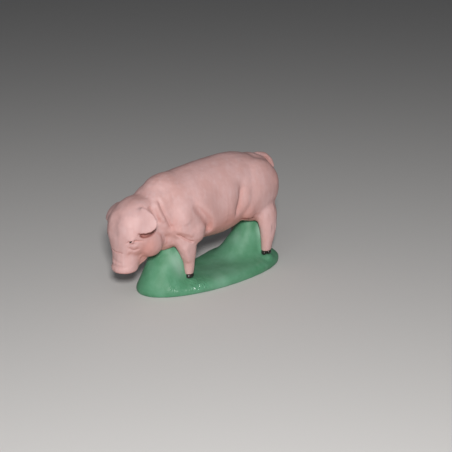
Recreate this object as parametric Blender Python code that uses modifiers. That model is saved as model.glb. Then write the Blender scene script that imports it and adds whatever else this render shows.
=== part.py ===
"""A small moulded clay pig on its green mound base, built as the painted figurine it is.

The pig walks with its head down. It faces -Y, its left side is +X, and Z is up. The origin
is on the flat underside of the base, below the middle of the pig, so every height below is
a height over the table.

The clay is modelled the way such a figure is made: soft masses pressed together, smoothed,
and then parted into named pieces with thin cuts. Sizes are in millimetres and become metres
through MM.
"""

import math

import bmesh
import bpy
from mathutils import Euler, Matrix, Vector

MM = 0.001

# --- Driving dimensions ------------------------------------------------------------------
GAP = 0.3  # thin cut between neighbouring pieces
CLAY_VOXEL = 0.42  # grain at which the soft masses are fused
CLAY_SMOOTHING = 12  # smoothing passes over the fused pig
BASE_SMOOTHING = 14
EAR_SMOOTHING = 3
RING_POINTS = 28

BACK_TOP = 38.2
BELLY_BOTTOM = 13.4
TRUNK_HALF_WIDTH = 10.0
SOLE = 3.9  # height of the ground the pig walks on
HOOF_TOP = 5.4
FORE_FOOT = (6.3, -12.9)  # across, along
HIND_FOOT = (8.5, 18.8)
RIGHT_HIND_SHIFT = (-1.7, 1.2)  # the right hind foot is nearer the middle and further back
EYE_CENTRE = (5.5, -34.0, 21.4)
EYE_RADIUS = 0.8

BASE_HALF_LENGTH = 28.2
BASE_HALF_WIDTH = 12.8
BASE_CENTRE = (0.7, 0.5)
BASE_TURN = -2.5  # the slab lies a little askew under the pig (degrees)
BASE_BITE = 0.5  # the slab's right edge is pressed in, by this share of its half-width
BASE_BITE_PLACE = -2.0  # middle of the bite along Y
BASE_BITE_REACH = 6.5  # the bite dies away over this length

# Triangles kept by each fused body.
PIG_TRIANGLES = 3600
EAR_TRIANGLES = 200
TAIL_TRIANGLES = 200
BASE_TRIANGLES = 1100
PIG_POCKET_TRIANGLES = 1500
SMALL_POCKET_TRIANGLES = 160

# Trunk from neck to rump: place along Y, top, bottom, half-width.
TRUNK_STATIONS = (
    (-27.0, 32.4, 21.5, 6.0),
    (-23.0, 34.6, 18.2, 7.6),
    (-17.5, 36.6, 15.6, 8.8),
    (-10.0, BACK_TOP - 0.7, 14.6, TRUNK_HALF_WIDTH - 0.3),
    (-3.0, BACK_TOP - 0.1, BELLY_BOTTOM + 0.2, TRUNK_HALF_WIDTH),
    (4.0, BACK_TOP + 0.3, BELLY_BOTTOM - 0.2, TRUNK_HALF_WIDTH),
    (10.0, BACK_TOP + 0.5, BELLY_BOTTOM + 1.6, TRUNK_HALF_WIDTH - 0.3),
    (16.0, BACK_TOP - 0.3, BELLY_BOTTOM + 5.0, TRUNK_HALF_WIDTH - 0.8),
    (21.0, BACK_TOP - 2.8, BELLY_BOTTOM + 7.6, 8.4),
    (25.0, BACK_TOP - 6.0, BELLY_BOTTOM + 10.4, 6.4),
)

# Head from crown to snout: height, place along Y, half-width, half-depth, squareness.
HEAD_STATIONS = (
    (32.4, -25.8, 3.4, 3.6, 2.0),
    (30.7, -26.8, 5.2, 5.7, 2.1),
    (28.6, -28.2, 6.3, 7.4, 2.4),
    (25.0, -28.9, 6.8, 7.5, 2.6),
    (21.6, -29.3, 6.9, 7.2, 2.7),
    (18.8, -30.0, 6.2, 6.2, 2.4),
    (16.4, -30.9, 5.0, 5.1, 2.2),
    (14.4, -31.8, 4.2, 4.4, 2.0),
    (12.4, -32.7, 4.1, 4.0, 2.0),
    (10.9, -32.8, 4.3, 4.2, 2.1),
    (9.8, -32.9, 3.6, 3.5, 2.1),
)

# Left ear: a flap that springs from the side of the crown and curls back towards its tip.
EAR_ROOT = (4.2, -31.7, 27.6)
EAR_REACH = 7.4  # outwards
EAR_SWEEP = 2.8  # the tip lies this far behind the root
EAR_CURL = 1.7  # above 1, most of the sweep comes near the tip
EAR_DROP = 1.2
EAR_HALF_SPAN = 4.4  # half the width of the flap at its root
EAR_LEAN = 24.0  # the flap's width leans back at the top (degrees)
EAR_ROUNDNESS = 2.4  # power of the flap's rounded outline
EAR_ROOT_THICKNESS = 1.0  # both half-thicknesses
EAR_TIP_THICKNESS = 0.4
EAR_RINGS = 5
EAR_LAST_ANGLE = 80.0  # the outline's quarter turn stops here, so that the tip stays blunt
RIGHT_EAR_DROOP = (0.2, 0.1, -0.4)  # the right ear sits lower and closer than the left
RIGHT_EAR_LEAN = 50.0  # and lies flatter

# Tail from root to tip, over the rump and down: middle, radius.
TAIL_STATIONS = (
    ((0.0, 19.5, 34.2), 1.8),
    ((0.1, 22.4, 34.9), 1.6),
    ((0.3, 25.2, 34.4), 1.5),
    ((0.6, 27.1, 32.7), 1.4),
    ((0.8, 28.0, 30.7), 1.3),
    ((0.5, 27.6, 28.9), 1.0),
)

# Cuts through the clay. Each is a box: lowest corner, highest corner.
WIDE = 40.0
NECK_LEAN = 9.5  # the neck's cuts lean forward at the top (degrees)
NECK_PIVOT = (0, -24.2, 26.0)
NECK_LENGTH = 3.8
FORE_LEG_BOX = ((3.0, -20.0, 0.0), (WIDE, -8.6, 17.2))
HIND_LEG_BOX = ((2.8, 13.0, 0.0), (WIDE, WIDE, 18.4))
MOUND_SEAM = 5.2

PINK = (0.62, 0.35, 0.31)
GREEN = (0.10, 0.33, 0.19)
BLACK = (0.012, 0.011, 0.010)


# --- Scene helpers -----------------------------------------------------------------------
def clear_scene():
    for obj in list(bpy.data.objects):
        bpy.data.objects.remove(obj)


def collection(name):
    made = bpy.data.collections.new(name)
    bpy.context.scene.collection.children.link(made)
    return made


def paint(name, colour, roughness):
    made = bpy.data.materials.new(name)
    made.use_nodes = True
    shader = made.node_tree.nodes["Principled BSDF"]
    shader.inputs["Base Color"].default_value = (*colour, 1)
    shader.inputs["Roughness"].default_value = roughness
    shader.inputs["Metallic"].default_value = 0
    made.diffuse_color = (*colour, 1)
    return made


def new_object(name, mesh, home):
    obj = bpy.data.objects.new(name, mesh)
    home.objects.link(obj)
    return obj


def baked(obj, name):
    """The object's mesh, in world space, with its modifiers applied. The object goes."""
    graph = bpy.context.evaluated_depsgraph_get()
    mesh = bpy.data.meshes.new_from_object(obj.evaluated_get(graph))
    mesh.name = name
    mesh.transform(obj.matrix_world)
    bpy.data.objects.remove(obj)
    return mesh


# --- Soft masses -------------------------------------------------------------------------
def ellipsoid(home, name, centre, radii, lean=0.0):
    """A ball of clay. lean tips its top towards +Y (degrees)."""
    bm = bmesh.new()
    bmesh.ops.create_uvsphere(bm, u_segments=RING_POINTS, v_segments=RING_POINTS // 2, radius=1)
    turn = Matrix.Rotation(math.radians(-lean), 4, "X")
    size = Matrix.Diagonal((*[r * MM for r in radii], 1))
    bmesh.ops.transform(bm, matrix=Matrix.Translation(Vector(centre) * MM) @ turn @ size, verts=bm.verts)
    mesh = bpy.data.meshes.new(name)
    bm.to_mesh(mesh)
    bm.free()
    return new_object(name, mesh, home)


def loft(home, name, rings):
    """A closed skin over rings of equal point count, in order, capped at both ends."""
    bm = bmesh.new()
    rows = [[bm.verts.new(Vector(p) * MM) for p in ring] for ring in rings]
    for low, high in zip(rows, rows[1:]):
        for i in range(len(low)):
            j = (i + 1) % len(low)
            bm.faces.new((low[i], low[j], high[j], high[i]))
    bm.faces.new(rows[0])
    bm.faces.new(rows[-1])
    bmesh.ops.recalc_face_normals(bm, faces=bm.faces)
    mesh = bpy.data.meshes.new(name)
    bm.to_mesh(mesh)
    bm.free()
    obj = new_object(name, mesh, home)
    soften = obj.modifiers.new("soften", "SUBSURF")
    soften.levels = soften.render_levels = 1
    return obj


def squircle(angle, power):
    """A point of the unit curve |u|^power + |v|^power = 1."""
    c, s = math.cos(angle), math.sin(angle)
    u = math.copysign(abs(c) ** (2 / power), c)
    v = math.copysign(abs(s) ** (2 / power), s)
    return u, v


def ring_angles():
    return [2 * math.pi * i / RING_POINTS for i in range(RING_POINTS)]


def trunk_ring(y, top, bottom, half_width):
    """An egg-shaped section across the trunk, widest just below its middle."""
    widest = bottom + 0.48 * (top - bottom)
    ring = []
    for angle in ring_angles():
        u, v = squircle(angle, 2.2)
        reach = top - widest if v > 0 else widest - bottom
        ring.append((half_width * u, y, widest + reach * v))
    return ring


def level_ring(x, y, z, half_width, half_depth, power=2.0):
    """A level section at height z."""
    ring = []
    for angle in ring_angles():
        u, v = squircle(angle, power)
        ring.append((x + half_width * u, y + half_depth * v, z))
    return ring


def column(home, name, stations):
    """A leg or other upright mass: stations of (x, y, z, half-width, half-depth)."""
    return loft(home, name, [level_ring(*station) for station in stations])


def flap_ring(middle, span, thickness, normal):
    """A lens-shaped section: span runs along the flap's edge, thickness along its normal."""
    ring = []
    for angle in ring_angles():
        along = Vector(span) * math.cos(angle)
        through = normal * thickness * math.sin(angle)
        ring.append(Vector(middle) + along + through)
    return ring


# --- The pig's masses --------------------------------------------------------------------
def trunk_masses(home):
    loft(home, "mass_trunk", [trunk_ring(*station) for station in TRUNK_STATIONS])
    ellipsoid(home, "mass_rump", (0, 18.6, 28.4), (9.0, 8.2, 8.4))
    ellipsoid(home, "mass_withers", (0, -16.5, 31.6), (6.0, 8.5, 5.7))
    ellipsoid(home, "mass_brisket", (0, -18.6, 18.8), (6.2, 5.5, 5.6))


def head_masses(home):
    rings = []
    for z, y, half_width, half_depth, power in HEAD_STATIONS:
        rings.append(level_ring(0, y, z, half_width, half_depth, power))
    loft(home, "mass_head", rings)
    ellipsoid(home, "mass_chin", (0, -28.0, 14.1), (3.7, 4.1, 2.8), lean=-30)
    for side in (1, -1):
        ellipsoid(home, "mass_jowl", (side * 4.0, -26.0, 18.8), (3.4, 4.6, 4.8), lean=-25)
        ellipsoid(home, "mass_brow", (side * 4.2, -33.5, 22.8), (2.2, 2.0, 3.0))


def fore_masses(home, side):
    x, y = FORE_FOOT
    ellipsoid(home, "mass_shoulder", (side * 5.6, -14.2, 24.0), (4.7, 7.0, 8.4), lean=-8)
    ellipsoid(home, "mass_elbow", (side * 7.0, -11.8, 20.0), (3.6, 5.0, 5.0))
    stations = (
        (side * (x - 0.4), y - 2.0, 20.0, 3.6, 4.9),
        (side * x, y - 1.3, 16.4, 3.1, 4.2),
        (side * (x + 0.3), y - 0.6, 13.0, 2.4, 3.0),
        (side * (x + 0.5), y - 0.2, 9.6, 1.7, 2.0),
        (side * (x + 0.1), y, 6.8, 1.5, 1.7),
        (side * x, y, SOLE, 1.4, 1.6),
    )
    column(home, "mass_foreleg", stations)


def hind_masses(home, side):
    x, y = HIND_FOOT
    if side < 0:
        x += RIGHT_HIND_SHIFT[0]
        y += RIGHT_HIND_SHIFT[1]
    ellipsoid(home, "mass_ham", (side * 5.0, 15.9, 26.0), (5.2, 10.7, 10.4), lean=4)
    ellipsoid(home, "mass_stifle", (side * 6.6, 11.6, 21.6), (3.0, 4.8, 4.4))
    stations = (
        (side * (x - 2.2), y + 0.8, 22.0, 3.6, 5.8),
        (side * (x - 1.1), y + 0.8, 18.0, 3.0, 4.3),
        (side * (x - 0.3), y + 0.9, 14.5, 2.5, 3.5),
        (side * (x + 0.2), y + 0.6, 11.0, 2.1, 2.9),
        (side * x, y + 0.1, 7.6, 1.7, 2.0),
        (side * x, y, SOLE, 1.6, 1.9),
    )
    column(home, "mass_hindleg", stations)


def ear_station(share, lean):
    """Middle, half-span and half-thickness of a left ear at a share of its reach."""
    bend = (EAR_REACH * share, EAR_SWEEP * share**EAR_CURL, -EAR_DROP * share)
    span = EAR_HALF_SPAN * math.sqrt(1 - share**EAR_ROUNDNESS)
    edge = Vector((0, math.sin(lean), math.cos(lean)))
    thickness = EAR_ROOT_THICKNESS + (EAR_TIP_THICKNESS - EAR_ROOT_THICKNESS) * share
    return Vector(EAR_ROOT) + Vector(bend), edge * span, thickness


def ear_mass(home, side):
    last = math.radians(EAR_LAST_ANGLE)
    shares = [math.sin(last * i / (EAR_RINGS - 1)) for i in range(EAR_RINGS)]
    lean = math.radians(EAR_LEAN if side > 0 else RIGHT_EAR_LEAN)
    stations = [ear_station(share, lean) for share in shares]
    normal = (stations[-1][0] - stations[0][0]).cross(stations[0][1]).normalized()
    mirror = Matrix.Diagonal((side, 1, 1))
    droop = Vector(RIGHT_EAR_DROOP) if side < 0 else Vector()
    rings = []
    for middle, span, thickness in stations:
        rings.append([mirror @ p + droop for p in flap_ring(middle, span, thickness, normal)])
    loft(home, "mass_ear", rings)


def tail_mass(home):
    for (start, thick), (end, thin) in zip(TAIL_STATIONS, TAIL_STATIONS[1:]):
        for step in range(4):
            share = step / 4
            middle = Vector(start).lerp(Vector(end), share)
            radius = thick + (thin - thick) * share
            ellipsoid(home, "mass_tail", middle, (radius, radius, radius))


# --- The base's masses -------------------------------------------------------------------
def slab_ring(z, share):
    """A level section of the slab: rounder at the front end, bitten on the right, turned."""
    x, y = BASE_CENTRE
    ring = []
    for angle in ring_angles():
        u, v = squircle(angle, 2.0 if math.sin(angle) < 0 else 2.4)
        point = Vector((BASE_HALF_WIDTH * u, BASE_HALF_LENGTH * v, 0)) * share
        if point.x < 0:
            away = (point.y - BASE_BITE_PLACE) / BASE_BITE_REACH
            point.x *= 1 - BASE_BITE * math.exp(-away * away)
        point.rotate(Euler((0, 0, math.radians(BASE_TURN))))
        ring.append(point + Vector((x, y, z)))
    return ring


def slab_mass(home):
    """The terrace: an oval slab with a rolled rim and a slightly crowned top."""
    profile = (
        (-2.0, 0.92),
        (0.0, 0.97),
        (1.4, 1.0),
        (2.6, 0.97),
        (3.5, 0.87),
        (4.0, 0.74),
        (4.2, 0.5),
        (4.3, 0.2),
    )
    loft(home, "mass_slab", [slab_ring(z, share) for z, share in profile])


def fore_mound_mass(home):
    stations = (
        (0.4, -17.4, 1.6, 7.6, 10.2),
        (0.4, -18.0, 4.0, 6.9, 8.8),
        (0.3, -18.0, 6.5, 6.4, 7.5),
        (0.3, -17.1, 9.2, 5.7, 6.2),
        (0.2, -16.3, 12.0, 4.8, 4.8),
        (0.2, -15.9, 14.4, 3.2, 2.9),
        (0.0, -16.6, 15.6, 1.2, 1.0),
    )
    column(home, "mass_fore_mound", stations)


def hind_mound_mass(home):
    stations = (
        (0.5, 13.4, 1.6, 8.2, 13.4),
        (0.5, 14.8, 4.0, 7.2, 11.2),
        (0.7, 16.3, 6.5, 6.4, 8.8),
        (1.1, 17.5, 9.2, 5.5, 6.6),
        (1.4, 18.2, 12.0, 4.6, 4.9),
        (1.0, 17.9, 15.0, 3.9, 4.0),
        (1.0, 17.9, 17.5, 2.3, 2.3),
        (1.0, 17.9, 18.6, 1.0, 1.0),
    )
    column(home, "mass_hind_mound", stations)


# --- Fusing and thinning -----------------------------------------------------------------
def pressed(home, name, smoothing):
    """Presses every mass in home into one smooth closed mesh."""
    bm = bmesh.new()
    for obj in list(home.objects):
        bm.from_mesh(baked(obj, "mass"))
    mesh = bpy.data.meshes.new(name)
    bm.to_mesh(mesh)
    bm.free()
    obj = new_object(name, mesh, home)
    press = obj.modifiers.new("press", "REMESH")
    press.mode = "VOXEL"
    press.voxel_size = CLAY_VOXEL * MM
    smooth = obj.modifiers.new("smooth", "SMOOTH")
    smooth.factor = 0.5
    smooth.iterations = smoothing
    return baked(obj, name)


def thinned(home, mesh, triangles):
    """The same shape with about the given number of triangles."""
    have = sum(len(face.vertices) - 2 for face in mesh.polygons)
    obj = new_object(mesh.name, mesh, home)
    thin = obj.modifiers.new("thin", "DECIMATE")
    thin.ratio = min(1, triangles / have)
    return baked(obj, mesh.name)


def swollen(home, mesh, triangles):
    """The same shape grown by GAP on every side, to hollow out a neighbour."""
    obj = new_object(mesh.name + "_pocket", mesh.copy(), home)
    grow = obj.modifiers.new("grow", "DISPLACE")
    grow.strength = GAP * MM
    grow.mid_level = 0
    press = obj.modifiers.new("press", "REMESH")
    press.mode = "VOXEL"
    press.voxel_size = CLAY_VOXEL * MM
    return thinned(home, baked(obj, obj.name), triangles)


# --- Parting -----------------------------------------------------------------------------
def block(home, low, high, grow=0.0, pivot=(0, 0, 0), lean=0.0):
    """A box between two corners, grown on every side, leaned about the X axis at pivot."""
    low, high = Vector(low) - Vector((grow,) * 3), Vector(high) + Vector((grow,) * 3)
    bm = bmesh.new()
    bmesh.ops.create_cube(bm, size=1)
    fit = Matrix.Translation((low + high) / 2) @ Matrix.Diagonal((*(high - low), 1))
    about = Matrix.Translation(Vector(pivot))
    turn = about @ Matrix.Rotation(math.radians(lean), 4, "X") @ about.inverted()
    bmesh.ops.transform(bm, matrix=Matrix.Scale(MM, 4) @ turn @ fit, verts=bm.verts)
    mesh = bpy.data.meshes.new("block")
    bm.to_mesh(mesh)
    bm.free()
    return new_object("block", mesh, home)


def carved(home, mesh, cutter, operation):
    """The mesh cut by a cutter object, without crumbs. The cutter goes."""
    cutter.hide_render = True
    cutter.display_type = "WIRE"
    obj = new_object(mesh.name, mesh, home)
    cut = obj.modifiers.new("cut", "BOOLEAN")
    cut.operation = operation
    cut.solver = "EXACT"
    cut.object = cutter
    result = baked(obj, mesh.name)
    bpy.data.objects.remove(cutter)
    keep_largest(result)
    return result


def keep_largest(mesh):
    """Deletes every loose crumb but the largest body."""
    bm = bmesh.new()
    bm.from_mesh(mesh)
    bodies = []
    unseen = set(bm.verts)
    while unseen:
        front = [unseen.pop()]
        body = set(front)
        while front:
            for edge in front.pop().link_edges:
                for vert in edge.verts:
                    if vert in unseen:
                        unseen.remove(vert)
                        body.add(vert)
                        front.append(vert)
        bodies.append(body)
    bodies.sort(key=len)
    for crumb in bodies[:-1]:
        bmesh.ops.delete(bm, geom=list(crumb), context="VERTS")
    bm.to_mesh(mesh)
    bm.free()


def parted(home, mesh, low, high, pivot=(0, 0, 0), lean=0.0):
    """Splits clay at a box's walls, GAP apart: the piece inside it and what is left."""
    inside = carved(home, mesh.copy(), block(home, low, high, -GAP / 2, pivot, lean), "INTERSECT")
    outside = carved(home, mesh, block(home, low, high, GAP / 2, pivot, lean), "DIFFERENCE")
    return inside, outside


def hollowed(home, mesh, filling, triangles):
    """The mesh with a pocket that clears another body by GAP."""
    pocket = new_object("pocket", swollen(home, filling, triangles), home)
    return carved(home, mesh, pocket, "DIFFERENCE")


def mirrored_box(box, side):
    (x0, y0, z0), (x1, y1, z1) = box
    across = sorted((side * x0, side * x1))
    return (across[0], y0, z0), (across[1], y1, z1)


# --- Sub-parts ---------------------------------------------------------------------------
def finish_part(parts, name, mesh, material):
    mesh.materials.clear()
    mesh.materials.append(material)
    mesh.shade_smooth()
    mesh.set_sharp_from_angle(angle=math.radians(50))
    new_object(name, mesh, parts)


def pig_mesh(home):
    trunk_masses(home)
    head_masses(home)
    for side in (1, -1):
        fore_masses(home, side)
        hind_masses(home, side)
    return thinned(home, pressed(home, "pig", CLAY_SMOOTHING), PIG_TRIANGLES)


def base_mesh(home):
    slab_mass(home)
    fore_mound_mass(home)
    hind_mound_mass(home)
    clay = thinned(home, pressed(home, "base", BASE_SMOOTHING), BASE_TRIANGLES)
    return carved(home, clay, block(home, (-WIDE, -WIDE, 0), (WIDE, WIDE, WIDE)), "INTERSECT")


def make_base(parts, home, pig, green):
    clay = hollowed(home, base_mesh(home), pig, PIG_POCKET_TRIANGLES)
    fore, clay = parted(home, clay, (-WIDE, -WIDE, MOUND_SEAM), (WIDE, 0, WIDE))
    hind, clay = parted(home, clay, (-WIDE, 0, MOUND_SEAM), (WIDE, WIDE, WIDE))
    finish_part(parts, "base", clay, green)
    finish_part(parts, "mound_front", fore, green)
    finish_part(parts, "mound_hind", hind, green)


def make_legs(parts, home, pig, pink, black):
    """Parts the four legs, each with its hoof, and gives back the rest of the pig."""
    for end, box in (("front", FORE_LEG_BOX), ("hind", HIND_LEG_BOX)):
        for side, hand in ((1, "left"), (-1, "right")):
            leg, pig = parted(home, pig, *mirrored_box(box, side))
            hoof, leg = parted(home, leg, (-WIDE, -WIDE, 0), (WIDE, WIDE, HOOF_TOP))
            finish_part(parts, f"leg_{end}_{hand}", leg, pink)
            finish_part(parts, f"hoof_{end}_{hand}", hoof, black)
    return pig


def make_eye(parts, home, side, black):
    bm = bmesh.new()
    bmesh.ops.create_uvsphere(bm, u_segments=12, v_segments=7, radius=EYE_RADIUS * MM)
    x, y, z = EYE_CENTRE
    bmesh.ops.translate(bm, vec=Vector((side * x, y, z)) * MM, verts=bm.verts)
    mesh = bpy.data.meshes.new("eye")
    bm.to_mesh(mesh)
    bm.free()
    finish_part(parts, "eye_left" if side > 0 else "eye_right", mesh, black)
    reach = EYE_RADIUS + GAP
    return ellipsoid(home, "socket", (side * x, y, z), (reach, reach, reach))


def make_head(parts, home, head, pink, black):
    for side, hand in ((1, "left"), (-1, "right")):
        ear_mass(home, side)
        ear = thinned(home, pressed(home, "ear", EAR_SMOOTHING), EAR_TRIANGLES)
        head = hollowed(home, head, ear, SMALL_POCKET_TRIANGLES)
        finish_part(parts, f"ear_{hand}", ear, pink)
        head = carved(home, head, make_eye(parts, home, side, black), "DIFFERENCE")
    finish_part(parts, "head", head, pink)


def make_tail(parts, home, trunk, pink):
    tail_mass(home)
    tail = thinned(home, pressed(home, "tail", EAR_SMOOTHING), TAIL_TRIANGLES)
    trunk = hollowed(home, trunk, tail, SMALL_POCKET_TRIANGLES)
    finish_part(parts, "tail", tail, pink)
    return trunk


def main():
    clear_scene()
    parts = collection("clay_pig")
    home = collection("cutters")
    pink = paint("pink_paint", PINK, 0.6)
    green = paint("green_paint", GREEN, 0.5)
    black = paint("black_paint", BLACK, 0.35)

    pig = pig_mesh(home)
    make_base(parts, home, pig, green)
    pig = make_legs(parts, home, pig, pink, black)
    front = (-WIDE, -2 * WIDE, -WIDE), (WIDE, NECK_PIVOT[1], 2 * WIDE)
    head, pig = parted(home, pig, *front, NECK_PIVOT, NECK_LEAN)
    front = (-WIDE, -2 * WIDE, -WIDE), (WIDE, NECK_PIVOT[1] + NECK_LENGTH, 2 * WIDE)
    neck, trunk = parted(home, pig, *front, NECK_PIVOT, NECK_LEAN)
    make_head(parts, home, head, pink, black)
    finish_part(parts, "neck", neck, pink)
    trunk = make_tail(parts, home, trunk, pink)
    finish_part(parts, "trunk", trunk, pink)


main()
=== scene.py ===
"""Looks for a small hand-painted clay pig on its green base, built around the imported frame.

The pig faces -Y, its left side is +X and Z is up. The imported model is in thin-cut pieces; the
real figure is one lump of fired clay. So the pieces of the pig are fused into one skin and the
pieces of the base into another, and both are then modelled further, as with a tool in soft
clay: folds, creases, lids and finger marks are strokes laid on the skin. A stroke's points are
given as shares of a node's box, so the work moves with the frame.
"""

import math

import bmesh
import bpy
import numpy as np
from mathutils import Matrix, Vector, noise
from mathutils.bvhtree import BVHTree


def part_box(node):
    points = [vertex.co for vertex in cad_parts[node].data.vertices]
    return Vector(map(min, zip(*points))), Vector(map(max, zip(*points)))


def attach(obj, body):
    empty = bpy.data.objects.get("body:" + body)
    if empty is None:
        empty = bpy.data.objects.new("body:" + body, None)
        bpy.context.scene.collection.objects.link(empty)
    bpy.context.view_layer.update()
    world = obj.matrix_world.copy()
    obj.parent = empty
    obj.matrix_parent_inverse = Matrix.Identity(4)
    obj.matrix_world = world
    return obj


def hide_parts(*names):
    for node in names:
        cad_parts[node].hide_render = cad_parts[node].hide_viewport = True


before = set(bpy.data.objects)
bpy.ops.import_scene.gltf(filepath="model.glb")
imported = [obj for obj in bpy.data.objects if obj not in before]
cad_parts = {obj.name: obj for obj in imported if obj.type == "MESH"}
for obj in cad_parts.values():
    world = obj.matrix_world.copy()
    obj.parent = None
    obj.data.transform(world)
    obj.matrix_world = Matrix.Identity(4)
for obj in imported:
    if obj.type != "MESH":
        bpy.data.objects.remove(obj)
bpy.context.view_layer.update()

MM = 0.001

# --- What is fused -----------------------------------------------------------------------
PIG_NODES = (
    "head", "neck", "trunk", "tail", "ear_left", "ear_right",
    "leg_front_left", "leg_front_right", "leg_hind_left", "leg_hind_right",
)
EYE_NODES = ("eye_left", "eye_right")
BASE_NODES = ("base", "mound_front", "mound_hind")
SIDES = ("left", "right")

CUT_FILL = 0.26 * MM  # the nodes grow by this to close the cuts, then shrink again
PIG_GRAIN = 0.30 * MM  # voxel size of the fused pig
BASE_GRAIN = 0.34 * MM
PIG_RELAX = 26  # rounds of smoothing after the voxels
BASE_RELAX = 60
LAST_RELAX = 4  # more rounds once the skin has shrunk again
RELAX_PULLS = (0.5, -0.52)  # in, then slightly further out, so that nothing shrinks
SMEAR_PULL = 0.5
SMEAR_ROUNDS = 90  # on the pig
MOUND_SMEAR_ROUNDS = 270  # where the mounds run out into the slab
PIG_TRIANGLES = 190000  # of the finished skins
BASE_TRIANGLES = 150000

# Soft unevenness of the clay: size and height in mm, and which noise.
PIG_LUMPS = ((3.0, 0.07, 1), (0.9, 0.025, 2))
BASE_LUMPS = ((6.0, 0.22, 3), (2.0, 0.05, 4))

# --- Sizes of the base's clay ------------------------------------------------------------
FOOT_RISE = 0.6 * MM  # the mounds run out into the slab about this far above its top
FOOT_SPAN = 2.6 * MM
DISH_DEPTH = 0.6 * MM  # the slab's top sinks this far in the middle
DISH_SHARES = (0.34, 0.26)  # how far it runs out, as shares of the slab's width and length
PAD_REACH = 2.3 * MM  # how far out from a foot's middle the clay rises to meet it
PAD_OVERLAP = 0.1 * MM  # how far that clay comes up past the hoof's underside
TUCK_REACH = 1.2 * MM  # clay nearer to the pig than this is drawn against it
TUCK_DEPTH = 0.15 * MM  # and it ends this far inside the pig's skin
TUCK_ROUNDS = 12  # of rubbing smooth around that place

# --- Sizes of the hooves and eyes --------------------------------------------------------
# Which way each pair's toes point, outward from straight ahead in degrees, and how far they
# are split.
HOOVES = {"front": (0, 0.25), "hind": (60, 0.75)}
HOOF_SLANT = 22.0  # the black paint's upper edge rises towards the heel (degrees)
HOOF_LEAN = 0.4  # the hoof itself leans by this share of that
HOOF_GROWTH = (1.12, 1.12, 1.9)  # past its node, so that it runs into the leg
HOOF_LIFT = 0.45  # of its node's half height
CLEFT_WIDTH = 0.24  # these three are shares of the hoof's half width
CLEFT_END = 0.1  # the cleft stops this far in front of the hoof's middle
BLUNTNESS = 0.10  # how far the toes swell near the ground
HEEL_PAINT = 0.30 * MM  # how far the black runs up the leg above the hoof's node
HEEL_EDGE = 0.15 * MM  # how soft the black's upper edge is
HEEL_REACH = 3 * MM  # how far from the hoof's middle it may lie
EYE_SHARES = (0.5, 0.35, 0.36)  # where the eye's sliver lies in its node's box
EYE_SLIT = (0.45, 0.8, 0.18)  # the way the slit between the lids runs
EYE_SIZE = (0.60 * MM, 0.25 * MM, 0.10 * MM)  # half its length, height and thickness
EYE_STANDS = 0.06 * MM  # how far its middle stands out of the skin

# --- Rays that find closed-in clay, for the painted shade in hollows ---------------------
SHELTER_RAYS = 9
SHELTER_REACH = 3.5 * MM
SHELTER_LIFTS = (0.25, 0.7)  # lowest ray above the skin, and the span up from it
SHELTER_START = 0.05  # mm out of the skin, so that no ray meets the face that it leaves
GOLDEN_ANGLE = math.pi * (3 - math.sqrt(5))

# --- Camera ------------------------------------------------------------------------------
VIEW_ROUND = 47.0  # degrees, from the front towards the pig's left
VIEW_UP = 20.0
VIEW_DISTANCE = 340 * MM
VIEW_SHIFT = (6.4 * MM, 15.2 * MM)  # the point looked at, right of and above the origin
LENS = 83.6
SENSOR = 36.0


# --- Places on the frame -----------------------------------------------------------------
def spot(node, across, along, up):
    """A point by its shares of a node's box: across from right to left, along from the front
    to the rear, up from the bottom to the top."""
    low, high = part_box(node)
    shares = (across, along, up)
    return Vector([low[i] + shares[i] * (high[i] - low[i]) for i in range(3)])


def mirrored(place):
    """The same place on the pig's right side."""
    node, across, along, up = place
    return node.replace("left", "right"), 1 - across, along, up
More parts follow.
